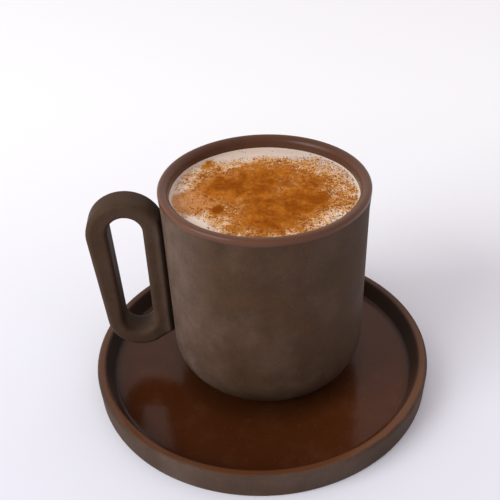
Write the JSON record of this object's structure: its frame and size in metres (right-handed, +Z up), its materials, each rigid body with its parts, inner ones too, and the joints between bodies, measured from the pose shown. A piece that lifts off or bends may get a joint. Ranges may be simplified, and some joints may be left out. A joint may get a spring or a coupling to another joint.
{
  "type": "cup of salep",
  "caption": "Brown stoneware cup of milky salep under a dusting of cinnamon, standing on its saucer, ready to serve.",
  "frame": {"origin": "centre of the saucer's underside", "axes": "+Z up; the handle points to -X and the drink's open face to +Z; -Y is the side that is seen from the front"},
  "size_m": [0.1494, 0.1494, 0.0967],
  "materials": {
    "saucer_stoneware": "glossy dark brown glaze inside and over the lip, bare matte stoneware outside",
    "cup_stoneware": "bare matte grey-brown stoneware outside, glossy brown glaze inside and over the lip",
    "salep_milk": "smooth thick milk drink with a soft satin surface",
    "ground_cinnamon": "dry, dull, grainy orange-brown powder"
  },
  "bodies": {
    "root": {"saucer": "saucer_stoneware", "cup": "cup_stoneware", "salep": "salep_milk"}
  },
  "joints": []
}
